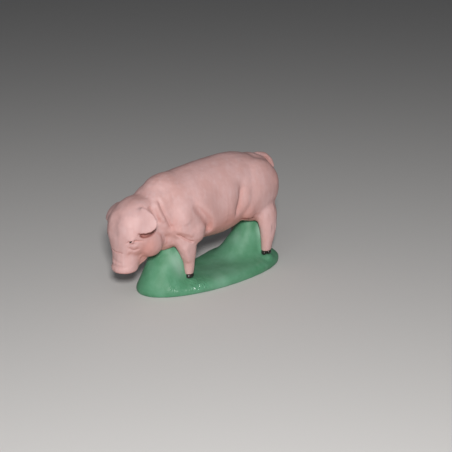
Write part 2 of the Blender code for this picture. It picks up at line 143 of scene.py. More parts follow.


# --- Clay strokes ------------------------------------------------------------------------
# Kind, width and height in mm, then points as (node, across, along, up).
# groove: pressed in, with painted shade in it; gap: a groove with a dark painted shadow; ridge:
# raised;
# step: the stroke's left, seen along it from outside, stands over its right.
# These are laid on the left side and again, mirrored, on the right.
LEFT_STROKES = {
    "upper_lid": ("groove", 0.26, 0.26, (
        ("eye_left", -0.1, -1.1, -0.5), ("eye_left", 0.5, 0.2, 0.40),
        ("eye_left", 1.0, 1.3, 0.35), ("eye_left", 1.3, 3.2, 0.05))),
    "upper_lid_edge": ("ridge", 0.60, 0.12, (
        ("eye_left", 0.6, 0.3, 1.1), ("eye_left", 1.1, 1.5, 1.1), ("eye_left", 1.2, 2.8, 0.9))),
    "lower_lid": ("groove", 0.45, 0.20, (
        ("eye_left", 0.1, -0.5, -0.8), ("eye_left", 0.7, 0.7, -1.7), ("eye_left", 1.1, 2.2, -1.3))),
    "lid_bag": ("ridge", 0.60, 0.14, (
        ("eye_left", 0.3, 0.0, -0.45), ("eye_left", 0.6, 0.8, -0.65),
        ("eye_left", 1.0, 1.8, -0.6))),
    "brow": ("ridge", 1.6, 0.16, (
        ("head", 0.85, 0.26, 0.88), ("head", 0.84, 0.17, 0.76), ("head", 0.84, 0.15, 0.64))),
    "ear_rear": ("groove", 0.8, 0.38, (
        ("head", 0.84, 0.68, 0.92), ("head", 0.89, 0.72, 0.84), ("head", 0.94, 0.81, 0.73),
        ("head", 0.94, 0.86, 0.63))),
    # Painted shadow of the ear's lower edge on the cheek.
    "ear_under": ("gap", 0.52, 0.75, (
        ("head", 0.93, 0.32, 0.58), ("head", 0.95, 0.48, 0.54), ("head", 0.95, 0.66, 0.55),
        ("head", 0.95, 0.84, 0.60))),
    "mouth": ("groove", 0.24, 0.12, (
        ("head", 0.76, 0.48, 0.10), ("head", 0.77, 0.62, 0.15), ("head", 0.80, 0.78, 0.23))),
    "muzzle_side": ("groove", 1.3, 0.35, (
        ("head", 0.74, 0.16, 0.33), ("head", 0.77, 0.32, 0.27), ("head", 0.78, 0.50, 0.24))),
    "jowl_rear": ("groove", 0.85, 0.25, (
        ("neck", 0.92, 0.34, 0.36), ("neck", 0.87, 0.30, 0.22), ("neck", 0.76, 0.28, 0.10))),
    "neck_fold": ("ridge", 1.0, 0.32, (
        ("neck", 0.84, 0.02, 0.84), ("neck", 0.93, 0.12, 0.66), ("neck", 0.97, 0.36, 0.50))),
    "neck_groove": ("groove", 0.60, 0.46, (
        ("neck", 0.84, 0.14, 0.90), ("neck", 0.93, 0.28, 0.68), ("neck", 0.98, 0.54, 0.50),
        ("neck", 0.98, 0.74, 0.34))),
    "neck_hollow": ("groove", 2.4, 0.36, (
        ("neck", 0.88, 0.64, 0.86), ("neck", 0.96, 0.92, 0.66), ("trunk", 0.91, 0.03, 0.44),
        ("trunk", 0.91, 0.04, 0.32))),
    "shoulder_blade": ("ridge", 1.8, 0.40, (
        ("trunk", 0.84, 0.06, 0.72), ("trunk", 0.93, 0.09, 0.52), ("trunk", 0.97, 0.13, 0.38))),
    "arm_rear": ("step", 1.5, 0.80, (
        ("trunk", 0.93, 0.165, 0.66), ("trunk", 0.98, 0.24, 0.53), ("trunk", 0.99, 0.305, 0.38),
        ("trunk", 0.96, 0.32, 0.22), ("trunk", 0.93, 0.28, 0.12))),
    "elbow_crease": ("groove", 0.36, 0.34, (
        ("trunk", 0.88, 0.04, 0.285), ("trunk", 0.93, 0.09, 0.225), ("trunk", 0.95, 0.14, 0.165),
        ("trunk", 0.95, 0.18, 0.13))),
    "elbow_roll": ("ridge", 0.9, 0.42, (
        ("trunk", 0.90, 0.05, 0.34), ("trunk", 0.95, 0.11, 0.29), ("trunk", 0.97, 0.17, 0.23))),
    "forearm_rear": ("groove", 0.45, 0.22, (
        ("leg_front_left", 0.95, 0.86, 0.88), ("leg_front_left", 0.93, 0.84, 0.70),
        ("leg_front_left", 0.90, 0.76, 0.52))),
    "forearm_front": ("ridge", 0.9, 0.30, (
        ("leg_front_left", 0.88, 0.30, 0.92), ("leg_front_left", 0.90, 0.38, 0.60),
        ("leg_front_left", 0.84, 0.50, 0.30))),
    "ham_hollow": ("groove", 2.2, 0.60, (
        ("trunk", 0.88, 0.60, 0.80), ("trunk", 0.96, 0.59, 0.64), ("trunk", 0.98, 0.575, 0.48),
        ("trunk", 0.95, 0.54, 0.30))),
    "ham_front": ("groove", 0.85, 0.48, (
        ("trunk", 0.94, 0.60, 0.70), ("trunk", 0.97, 0.58, 0.54), ("trunk", 0.97, 0.56, 0.40),
        ("trunk", 0.93, 0.53, 0.26))),
    "flank_fold": ("ridge", 1.6, 0.26, (
        ("trunk", 0.94, 0.65, 0.66), ("trunk", 0.97, 0.635, 0.48), ("trunk", 0.93, 0.59, 0.34))),
    # Painted shadow where the thigh meets the belly.
    "groin": ("gap", 0.34, 0.30, (
        ("trunk", 0.90, 0.60, 0.185), ("trunk", 0.92, 0.67, 0.155), ("trunk", 0.88, 0.75, 0.165))),
    "thigh_rear": ("groove", 1.5, 0.45, (
        ("trunk", 0.98, 0.88, 0.30), ("trunk", 0.90, 0.96, 0.27), ("trunk", 0.76, 1.0, 0.26))),
    "hock": ("groove", 1.3, 0.20, (
        ("leg_hind_left", 0.98, 0.52, 0.62), ("leg_hind_left", 0.98, 0.80, 0.60))),
}

# Strokes laid once: across the middle line, along it, and beside the tail.
MIDDLE_STROKES = {
    "bridge_crease": ("groove", 0.24, 0.26, (
        ("head", 0.27, 0.08, 0.33), ("head", 0.50, 0.00, 0.31), ("head", 0.73, 0.10, 0.315))),
    "bridge_wrinkle": ("groove", 0.40, 0.18, (
        ("head", 0.30, 0.06, 0.21), ("head", 0.50, 0.00, 0.19), ("head", 0.70, 0.06, 0.17))),
    "snout_rim": ("groove", 0.55, 0.28, (
        ("head", 0.24, 0.22, 0.12), ("head", 0.36, 0.04, 0.12), ("head", 0.50, 0.00, 0.12),
        ("head", 0.64, 0.04, 0.12), ("head", 0.76, 0.22, 0.12))),
    "forehead": ("groove", 2.0, 0.35, (
        ("head", 0.5, 0.12, 0.90), ("head", 0.5, 0.03, 0.70), ("head", 0.5, 0.0, 0.48))),
    "tail_side": ("ridge", 0.70, 0.22, (
        ("tail", 1.05, 0.30, 0.92), ("tail", 1.1, 0.66, 0.86), ("tail", 1.1, 0.90, 0.50),
        ("tail", 1.0, 0.94, 0.15))),
    "spine": ("ridge", 2.2, 0.28, (
        ("trunk", 0.5, 0.05, 0.95), ("trunk", 0.5, 0.40, 1.0), ("trunk", 0.5, 0.75, 1.0))),
}

# Where the clay is smeared smooth, on both sides: node place and radius in mm.
LEFT_SMEARS = (
    (("ear_left", 0.0, 0.15, 0.80), 2.0),
    (("ear_left", 0.0, 0.15, 0.45), 2.2),
    (("ear_left", 0.05, 0.15, 0.12), 1.6),
    (("eye_left", 0.6, 0.0, 2.2), 2.0),
    (("leg_front_left", 0.9, 0.5, 0.35), 2.4),
)

# Thumbed swellings and hollows, on both sides: node place, radius and height in mm.
LEFT_DABS = (
    (("head", 0.90, 0.55, 0.42), 3.0, 0.35),
    (("head", 0.96, 0.42, 0.60), 1.6, -0.25),
    (("ear_left", 0.45, 0.30, 0.50), 1.5, -0.22),
    (("trunk", 0.98, 0.26, 0.42), 3.6, 0.40),
    (("trunk", 0.96, 0.40, 0.62), 4.0, -0.30),
    (("trunk", 0.98, 0.48, 0.40), 4.5, 0.30),
    (("trunk", 0.94, 0.76, 0.55), 4.0, 0.35),
    (("trunk", 0.96, 0.67, 0.38), 2.3, 0.35),
    (("trunk", 0.88, 0.92, 0.60), 3.0, 0.35),
    (("trunk", 0.80, 0.10, 0.86), 3.0, 0.30),
    (("head", 0.62, 0.12, 0.0), 0.5, -0.55),
)

# Where the pink is brushed on redder, partly as painted shade, on both sides: node place, radius in
# mm, strength.
LEFT_BLUSHES_AND_SHADE = (
    (("head", 0.95, 0.55, 0.40), 3.2, 0.75),
    (("head", 0.85, 0.55, 0.15), 2.4, 0.50),
    (("trunk", 0.96, 0.38, 0.14), 5.5, 0.45),
    (("trunk", 0.96, 0.52, 0.20), 5.0, 0.60),
    (("trunk", 0.93, 0.68, 0.28), 4.0, 0.40),
    (("neck", 0.97, 0.72, 0.45), 2.6, 0.30),
    (("trunk", 0.80, 0.96, 0.72), 6.0, 0.45),
)

# Pale marks on the green, partly brush marks and partly painted highlights, and where it is
# glossiest: place, radius in mm, strength.
# These are made once, and the pale ones are drawn out upright.
PALE_UPRIGHT = 2.2
PALE_AND_HIGHLIGHT_MARKS = (
    (("mound_front", 0.97, 0.50, 0.62), 1.6, 0.9),
    (("mound_front", 0.99, 0.62, 0.30), 1.5, 0.8),
    (("mound_hind", 0.97, 0.62, 0.50), 1.5, 0.9),
    (("mound_hind", 0.60, 0.12, 0.60), 1.8, 0.5),
    (("mound_hind", 0.05, 0.50, 0.50), 2.0, 0.5),
    (("base", 0.97, 0.40, 0.85), 2.4, 0.4),
    # A wide painted highlight that lightens the slab's dish.
    (("base", 0.70, 0.52, 0.90), 8.0, 0.30),
)
GLOSS_MARKS = (
    (("base", 0.96, 0.26, 0.95), 3.6, 1.0),
    (("base", 0.90, 0.12, 0.80), 3.0, 0.6),
    (("base", 0.95, 0.75, 0.90), 2.6, 0.4),
)


def smooth_path(points, count):
    """A Catmull-Rom curve through the points."""
    before = points[0] * 2 - points[1]
    after = points[-1] * 2 - points[-2]
    knots = [before, *points, after]
    spans = len(points) - 1
    path = []
    for i in range(count):
        at = i / (count - 1) * spans
        k = min(int(at), spans - 1)
        t = at - k
        a, b, c, d = knots[k : k + 4]
        bend = 2 * a - 5 * b + 4 * c - d
        twist = 3 * b - a - 3 * c + d
        path.append(0.5 * (2 * b + (c - a) * t + bend * t * t + twist * t * t * t))
    return path


def ramp(value, low, high):
    """From 0 at low to 1 at high, with soft ends."""
    t = np.clip((value - low) / (high - low), 0, 1)
    return t * t * (3 - 2 * t)


class Stroke:
    """One stroke, laid on a skin: its path, the skin's normal and the direction along it."""

    SAMPLES = 96
    FADED_END = 0.22  # share of its length over which a stroke fades out at each end
    RANGE = 4.5  # how far out it acts, in widths
    STEP_STEEPNESS = 1.6
    STEP_HIGH = 2.8  # how far out a step's high and low sides run, in widths
    STEP_LOW = 1.6
    GAP_SHADOW_WIDTH = 1.3  # half width of a gap's painted shadow, in widths
    DEEPEST_CREASE_SHADE = 0.4  # a groove's painted shade is never darker than this
    CREASE_SHADE_SHARE = 0.35  # nor than this share of its height by its width

    def __init__(self, kind, width, height, points, tree):
        self.kind = kind
        self.width = width * MM
        self.height = height * MM
        path, normals = [], []
        for point in smooth_path(points, self.SAMPLES):
            place, normal, _, _ = tree.find_nearest(point)
            path.append(place)
            normals.append(normal)
        self.path = np.array(path)
        self.normals = np.array(normals)
        self.along = np.gradient(self.path, axis=0)
        length = np.linalg.norm(self.along, axis=1, keepdims=True)
        self.along = self.along / np.maximum(length, 1e-9)
        share = np.linspace(0, 1, self.SAMPLES)
        self.fade = ramp(share, 0, self.FADED_END) * ramp(1 - share, 0, self.FADED_END)

    def reach(self, points):
        """Of the points near the stroke: their indices, distance, side (-1 is its left) and
        fade."""
        far = self.RANGE * self.width
        low, high = self.path.min(0) - far, self.path.max(0) + far
        near = np.nonzero(np.all((points > low) & (points < high), axis=1))[0]
        gap = points[near][:, None, :] - self.path[None, :, :]
        distance = np.linalg.norm(gap, axis=2)
        best = distance.argmin(axis=1)
        rows = np.arange(len(near))
        rightward = np.cross(self.along[best], self.normals[best])
        side = np.sign(np.einsum("ij,ij->i", rightward, gap[rows, best]))
        return near, distance[rows, best], side, self.fade[best]

    def push(self, points):
        """How far each point moves out along its normal."""
        near, distance, side, fade = self.reach(points)
        t = distance / self.width
        if self.kind in ("groove", "gap"):
            shape = -np.exp(-t * t)
        elif self.kind == "ridge":
            shape = np.exp(-t * t)
        else:
            run = np.where(side < 0, self.STEP_HIGH, self.STEP_LOW)
            shape = -side * np.tanh(self.STEP_STEEPNESS * t) * np.exp(-((t / run) ** 2))
        moved = np.zeros(len(points))
        moved[near] = shape * fade * self.height
        return moved

    def shade(self, points):
        """How deep in the stroke each point lies, from 0 to 1, for the painted shade in its crease.
        """
        stroke_shade = np.zeros(len(points))
        if self.kind in ("ridge", "step"):
            return stroke_shade
        near, distance, _, fade = self.reach(points)
        t = distance / self.width
        if self.kind == "gap":
            stroke_shade[near] = np.exp(-((t / self.GAP_SHADOW_WIDTH) ** 4)) * fade
        else:
            deepest = min(self.DEEPEST_CREASE_SHADE, self.CREASE_SHADE_SHARE * self.height / self.width)
            stroke_shade[near] = np.exp(-2 * t * t) * fade * deepest
        return stroke_shade


# --- Mesh tools --------------------------------------------------------------------------
def coordinates(mesh):
    """The vertices' places, one row each."""
    flat = np.empty(len(mesh.vertices) * 3, np.float32)
    mesh.vertices.foreach_get("co", flat)
    return flat.reshape(-1, 3).astype(float)


def set_coordinates(mesh, points):
    mesh.vertices.foreach_set("co", points.astype(np.float32).ravel())
    mesh.update()


def vertex_normals(mesh):
    """The vertices' normals, one row each."""
    flat = np.empty(len(mesh.vertices) * 3, np.float32)
    mesh.vertex_normals.foreach_get("vector", flat)
    return flat.reshape(-1, 3).astype(float)


def edge_ends(mesh):
    """The two vertices of each edge."""
    flat = np.empty(len(mesh.edges) * 2, np.int32)
    mesh.edges.foreach_get("vertices", flat)
    return flat.reshape(-1, 2)


def neighbour_mean(points, ends, count):
    """The mean place of each point's neighbours."""
    total = np.zeros_like(points)
    for axis in range(3):
        total[:, axis] += np.bincount(ends[:, 0], points[ends[:, 1], axis], len(points))
        total[:, axis] += np.bincount(ends[:, 1], points[ends[:, 0], axis], len(points))
    return total / count[:, None]


def relaxed(mesh, rounds):
    """Smooths facets away without shrinking the form: each round pulls in, then out."""
    points, ends = coordinates(mesh), edge_ends(mesh)
    count = np.bincount(ends.ravel(), minlength=len(points)).astype(float)
    for _ in range(rounds):
        for pull in RELAX_PULLS:
            points += pull * (neighbour_mean(points, ends, count) - points)
    set_coordinates(mesh, points)


def smeared(mesh, weights, rounds):
    """Rubs the clay smooth where it is weighted: hollows fill and edges go down."""
    points, ends = coordinates(mesh), edge_ends(mesh)
    live = weights > 0.02  # so small a weight moves nothing that shows
    ends = ends[live[ends].any(axis=1)]
    used, local = np.unique(ends, return_inverse=True)
    local = local.reshape(-1, 2)
    part = points[used]
    count = np.maximum(np.bincount(local.ravel(), minlength=len(used)), 1).astype(float)
    pull = (SMEAR_PULL * weights * live)[used][:, None]
    for _ in range(rounds):
        part += pull * (neighbour_mean(part, local, count) - part)
    points[used] = part
    set_coordinates(mesh, points)


def tree_of(mesh):
    """What finds the mesh's nearest place, or where a ray meets it."""
    bm = bmesh.new()
    bm.from_mesh(mesh)
    tree = BVHTree.FromBMesh(bm)
    bm.free()
    return tree


def linked(name, data):
    """A new object in the scene that shows the data."""
    obj = bpy.data.objects.new(name, data)
    bpy.context.scene.collection.objects.link(obj)
    return obj


def applied(obj):
    """The object's mesh with its modifiers applied. The object goes."""
    graph = bpy.context.evaluated_depsgraph_get()
    mesh = bpy.data.meshes.new_from_object(obj.evaluated_get(graph))
    mesh.name = obj.name
    bpy.data.objects.remove(obj)
    return mesh


def triangle_count(mesh):
    return sum(len(face.vertices) - 2 for face in mesh.polygons)


def shade_in_hollows(mesh):
    """How closed in each vertex is, from 0 in the open to 1, by rays to what stands near it; it
    masks the painted shade in hollows.
    """
    tree = tree_of(mesh)
    points, normals = coordinates(mesh), vertex_normals(mesh)
    lowest, lifts = SHELTER_LIFTS
    fan = []
    for i in range(SHELTER_RAYS):
        lift = lowest + lifts * (i + 0.5) / SHELTER_RAYS
        turn = i * GOLDEN_ANGLE
        flat = math.sqrt(1 - lift * lift)
        fan.append((flat * math.cos(turn), flat * math.sin(turn), lift))
    found = np.zeros(len(points))
    for i, (point, normal) in enumerate(zip(points, normals)):
        out = Vector(normal)
        basis = out.to_track_quat("Z", "Y")
        start = Vector(point) + out * SHELTER_START * MM
        hits = 0
        for ray in fan:
            struck, _, _, _ = tree.ray_cast(start, basis @ Vector(ray), SHELTER_REACH)
            if struck is not None:
                hits += 1
        found[i] = hits / SHELTER_RAYS
    return found


def gathered(name, nodes):
    """One object holding welded copies of the nodes' meshes."""
    bm = bmesh.new()
    for node in nodes:
        bm.from_mesh(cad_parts[node].data)
    bmesh.ops.remove_doubles(bm, verts=bm.verts, dist=0.001 * MM)
    mesh = bpy.data.meshes.new(name)
    bm.to_mesh(mesh)
    bm.free()
    return linked(name, mesh)


def fused(name, nodes, grain, rounds):
    """The nodes as one smooth skin with the cuts between them closed."""
    obj = gathered(name, nodes)
    grow = obj.modifiers.new("grow", "DISPLACE")
    grow.strength = CUT_FILL
    grow.mid_level = 0
    join = obj.modifiers.new("join", "REMESH")
    join.mode = "VOXEL"
    join.voxel_size = grain
    mesh = applied(obj)
    relaxed(mesh, rounds)
    set_coordinates(mesh, coordinates(mesh) - vertex_normals(mesh) * CUT_FILL)
    relaxed(mesh, LAST_RELAX)
    return mesh


def refined(mesh):
    """The same skin with every face split in four."""
    obj = linked(mesh.name, mesh)
    fine = obj.modifiers.new("fine", "SUBSURF")
    fine.levels = fine.render_levels = 1
    return applied(obj)


def thinned(mesh, triangles):
    """The same skin with fewer faces where it is flat."""
    obj = linked(mesh.name, mesh)
    thin = obj.modifiers.new("thin", "DECIMATE")
    thin.ratio = min(1, triangles / triangle_count(mesh))
    return applied(obj)


def store(mesh, name, values):
    made = mesh.attributes.new(name, "FLOAT", "POINT")
    made.data.foreach_set("value", values.astype(np.float32))


def clay_noise(points, size, seed):
    """Soft lumps about size across, from -1 to 1."""
    shift = Vector((seed * 7.1, seed * 3.3, seed * 5.7))
    return np.array([noise.noise(Vector(p) / size + shift) for p in points])


def lumps(points, table):
    """How far each point of the clay stands out, in mm, by a table of lumps."""
    return sum(height * clay_noise(points, size * MM, seed) for size, height, seed in table)


def smooth_shaded(obj):
    obj.data.shade_smooth()
    return obj


# --- The pig -----------------------------------------------------------------------------
def laid_strokes(tree):
    """All strokes of the pig. A mirrored step runs backwards, so that its high side stays."""
    strokes = []
    for kind, width, height, places in LEFT_STROKES.values():
        left = [spot(*place) for place in places]
        right = [spot(*mirrored(place)) for place in places]
        if kind == "step":
            right.reverse()
        strokes.append(Stroke(kind, width, height, left, tree))
        strokes.append(Stroke(kind, width, height, right, tree))
    for kind, width, height, places in MIDDLE_STROKES.values():
        points = [spot(*place) for place in places]
        strokes.append(Stroke(kind, width, height, points, tree))
    return strokes


def both_sides(table):
    """Each row as it is and again on the pig's other side."""
    for place, radius, strength in table:
        yield place, radius, strength
        yield mirrored(place), radius, strength


def spread(points, tree, table, upright=1.0):
    """The sum of soft round marks, drawn out upright by the given factor."""
    total = np.zeros(len(points))
    for place, radius, strength in table:
        centre, _, _, _ = tree.find_nearest(spot(*place))
        away = (points - np.array(centre)) / (radius * MM) / np.array((1, 1, upright))
        total += strength * np.exp(-(away**2).sum(axis=1))
    return total


def smear_weights(points, tree):
    """How strongly each point of the pig is rubbed smooth, from 0 to 1."""
    weights = np.zeros(len(points))
    for place, radius in LEFT_SMEARS:
        for chosen in (place, mirrored(place)):
            centre, _, _, _ = tree.find_nearest(spot(*chosen))
            away = np.linalg.norm(points - np.array(centre), axis=1) / (radius * MM)
            weights = np.maximum(weights, np.exp(-(away**4)))
    return weights


def hoof_paint(points):
    """Where the hooves' black runs up the heels, from 0 to 1."""
    slope = math.tan(math.radians(HOOF_SLANT))
    black = np.zeros(len(points))
    for side in SIDES:
        for end in HOOVES:
            low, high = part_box(f"hoof_{end}_{side}")
            middle = (low + high) / 2
            near = np.hypot(points[:, 0] - middle.x, points[:, 1] - middle.y) < HEEL_REACH
            edge = high.z + HEEL_PAINT + (points[:, 1] - middle.y) * slope
            black = np.maximum(black, near * ramp(edge - points[:, 2], 0, HEEL_EDGE))
    return black


def pig_skin():
    """The pig as one piece: fused, smeared, dabbed, stroked and marked for its paint and its
    painted shade.
    """
    mesh = fused("pig_skin", PIG_NODES + EYE_NODES, PIG_GRAIN, PIG_RELAX)
    smeared(mesh, smear_weights(coordinates(mesh), tree_of(mesh)), SMEAR_ROUNDS)
    mesh = refined(mesh)
    tree = tree_of(mesh)
    points = coordinates(mesh)
    points += vertex_normals(mesh) * spread(points, tree, both_sides(LEFT_DABS))[:, None] * MM
    set_coordinates(mesh, points)

    tree = tree_of(mesh)
    strokes = laid_strokes(tree)
    points, normals = coordinates(mesh), vertex_normals(mesh)
    total = sum(stroke.push(points) for stroke in strokes)
    points += normals * (total + lumps(points, PIG_LUMPS) * MM)[:, None]
    set_coordinates(mesh, points)
    mesh = thinned(mesh, PIG_TRIANGLES)

    points = coordinates(mesh)
    # Painted shade in the strokes' creases, and painted shadow in the gaps.
    painted_crease_shade = np.maximum.reduce([stroke.shade(points) for stroke in strokes])
    # Painted shade: clay that faces down is painted redder and darker, added to the blush.
    underside_shade = ramp(-vertex_normals(mesh)[:, 2], 0.1, 0.9)
    blush_and_shade = spread(points, tree, both_sides(LEFT_BLUSHES_AND_SHADE)) + underside_shade
    store(mesh, "painted_crease_shade", np.clip(painted_crease_shade, 0, 1))
    # Painted shade in hollows, from rays to the clay around.
    store(mesh, "shade_in_hollows", shade_in_hollows(mesh))
    store(mesh, "blush_and_shade", np.clip(blush_and_shade, 0, 1))
    store(mesh, "hoof_paint", hoof_paint(points))
    obj = smooth_shaded(linked("pig_skin", mesh))
    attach(obj, "root")
    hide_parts(*PIG_NODES)
    return obj


# --- The base ----------------------------------------------------------------------------
def mound_feet(points):
    """Where the mounds run out into the slab, from 0 to 1."""
    foot = spot("base", 0.5, 0.5, 1.0).z + FOOT_RISE
    return np.exp(-(((points[:, 2] - foot) / FOOT_SPAN) ** 2))


def dish(points):
    """How far the slab's top sinks towards its middle. The sides and the mounds stay."""
    low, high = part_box("base")
    middle = spot("base", 0.5, 0.5, 1.0)
    top = high.z
    across = (points[:, 0] - middle.x) / ((high.x - low.x) * DISH_SHARES[0])
    along = (points[:, 1] - middle.y) / ((high.y - low.y) * DISH_SHARES[1])
    above_rim = ramp(points[:, 2], 0.3 * top, 0.9 * top)
    below_mounds = ramp(-points[:, 2], -1.6 * top, -0.9 * top)
    level = above_rim * below_mounds
    return DISH_DEPTH * level * np.exp(-(across**2) - along**2)


def pads(points):
    """How far the clay rises under each hoof, so that every foot stands on it."""
    rise = np.zeros(len(points))
    for side in SIDES:
        for end in HOOVES:
            low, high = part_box(f"hoof_{end}_{side}")
            middle = (low + high) / 2
            away = np.hypot(points[:, 0] - middle.x, points[:, 1] - middle.y) / PAD_REACH
            short = np.maximum(low.z + PAD_OVERLAP - points[:, 2], 0)
            above_rim = ramp(points[:, 2], 1.6 * MM, 2.8 * MM)
            rise = np.maximum(rise, short * np.exp(-(away**4)) * above_rim)
    return rise


def tuck(mesh, pig):
    """Draws the base's clay up against the pig wherever the two nearly touch, then rubs the
    clay around that place smooth."""
    tree = tree_of(pig.data)
    points = coordinates(mesh)
    for i, point in enumerate(points):
        place, normal, _, distance = tree.find_nearest(Vector(point), TUCK_REACH)
        if place is not None:
            inside = (Vector(point) - place).dot(normal) < 0
            share = 1.0 if inside else float(ramp(TUCK_REACH - distance, 0, 0.6 * TUCK_REACH))
            target = np.array(place - normal * TUCK_DEPTH)
            points[i] += share * (target - points[i])
    set_coordinates(mesh, points)
    weights = np.zeros(len(points))
    for i, point in enumerate(points):
        _, _, _, distance = tree.find_nearest(Vector(point), 1.6 * TUCK_REACH)
        if distance is not None:
            weights[i] = ramp(distance, 0.1 * TUCK_REACH, 0.5 * TUCK_REACH)
    smeared(mesh, weights, TUCK_ROUNDS)


def base_skin(pig):
    """The base as one piece, with its clay drawn up to the pig's feet and belly."""
    mesh = fused("base_skin", BASE_NODES, BASE_GRAIN, BASE_RELAX)
    smeared(mesh, mound_feet(coordinates(mesh)), MOUND_SMEAR_ROUNDS)
    mesh = refined(mesh)
    points, normals = coordinates(mesh), vertex_normals(mesh)
    points[:, 2] -= dish(points)
    points[:, 2] += pads(points)
    above = ramp(points[:, 2], 0.3 * MM, 1.2 * MM)  # the underside stays flat
    points += normals * (lumps(points, BASE_LUMPS) * MM * above)[:, None]
    set_coordinates(mesh, points)
    mesh = thinned(mesh, BASE_TRIANGLES)
    tuck(mesh, pig)

    tree = tree_of(mesh)
    points = coordinates(mesh)
    # Pale marks, partly painted highlights; the gloss marks only change roughness and bumps.
    store(mesh, "pale", np.clip(spread(points, tree, PALE_AND_HIGHLIGHT_MARKS, PALE_UPRIGHT), 0, 1))
    store(mesh, "gloss", np.clip(spread(points, tree, GLOSS_MARKS), 0, 1))
    obj = smooth_shaded(linked("base_skin", mesh))
    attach(obj, "root")
    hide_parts(*BASE_NODES)
    return obj


# --- Hooves and eyes ---------------------------------------------------------------------
def black_piece(bm, node):
    """The shape as a black piece that stands for the node."""
    mesh = bpy.data.meshes.new(node)
    bm.to_mesh(mesh)
    bm.free()
    obj = smooth_shaded(linked("skin_" + node, mesh))
    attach(obj, "root")
    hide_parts(node)
    return obj


def hoof(node, turn, cleft):
    """The painted foot: a rounded end that the leg runs into, split between two toes that
    point forward, or outward by the given turn."""
    low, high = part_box(node)
    centre = (low + high) / 2
    half = (high - low) / 2
    bm = bmesh.new()
    bmesh.ops.create_uvsphere(bm, u_segments=64, v_segments=40, radius=1)
    for vert in bm.verts:
        x, y, z = vert.co
        split = cleft * math.exp(-((x / CLEFT_WIDTH) ** 2)) * max(0.0, -y - CLEFT_END)
        blunt = 1 + BLUNTNESS * math.exp(-(((z + 0.5) / 0.4) ** 2))
        vert.co = Vector((x * blunt, y * blunt + split, z))
    outward = 1 if centre.x > 0 else -1
    face = Matrix.Rotation(math.radians(turn) * outward, 4, "Z")
    size = Matrix.Diagonal((*(half[i] * HOOF_GROWTH[i] for i in range(3)), 1))
    lean = Matrix.Rotation(math.radians(HOOF_LEAN * HOOF_SLANT), 4, "X")
    place = Matrix.Translation(centre + Vector((0, 0, half.z * HOOF_LIFT)))
    bmesh.ops.transform(bm, matrix=place @ lean @ size @ face, verts=bm.verts)
    return black_piece(bm, node)


def eye(node, pig):
    """A sliver of black paint in the fold between the lids."""
    centre = spot(node, *EYE_SHARES)
    place, normal, _, _ = tree_of(pig.data).find_nearest(centre)
    outward = 1 if centre.x > 0 else -1
    along = Vector((EYE_SLIT[0] * outward, *EYE_SLIT[1:])).normalized()
    along = (along - normal * along.dot(normal)).normalized()
    upward = normal.cross(along) * outward
    turned = Matrix((along, upward, normal)).transposed().to_4x4()
    size = Matrix.Diagonal((*EYE_SIZE, 1))
    whole = Matrix.Translation(place + normal * EYE_STANDS) @ turned @ size
    bm = bmesh.new()
    bmesh.ops.create_uvsphere(bm, u_segments=32, v_segments=20, radius=1, matrix=whole)
    bmesh.ops.recalc_face_normals(bm, faces=bm.faces)
    return black_piece(bm, node)


# --- Materials ---------------------------------------------------------------------------
# Paint colours, in linear light.
PINK = (0.57, 0.335, 0.315)
PINK_LIGHT = (0.61, 0.385, 0.375)
PINK_BRUSHED = (0.63, 0.44, 0.44)
# Brushed-on red, partly painted shade where the clay turns away or faces down.
PINK_BLUSH_AND_SHADE = (0.55, 0.235, 0.20)
# Painted shade in hollows.
PINK_HOLLOW_SHADE = (0.46, 0.165, 0.125)
# Painted shade in creases and painted shadow in gaps.
PINK_CREASE_SHADE = (0.17, 0.020, 0.010)
GREEN = (0.068, 0.240, 0.125)
GREEN_LIGHT = (0.105, 0.300, 0.178)
GREEN_STREAK = (0.15, 0.35, 0.225)
# Pale brush marks, partly painted highlights.
GREEN_PALE_AND_HIGHLIGHT = (0.27, 0.46, 0.35)
BLACK = (0.012, 0.011, 0.010)
BLACK_WORN = (0.05, 0.045, 0.04)
HEEL_BLACK = (0.02, 0.018, 0.016)

UPRIGHT_STREAKS = (1, 1, 0.3)  # these two scale noise so that it is drawn out upright
UPRIGHT_BRUSHING = (1, 1, 0.35)
MIX_FIRST, MIX_SECOND = 6, 7  # the Mix node's two colour inputs
MIX_RESULT = 2


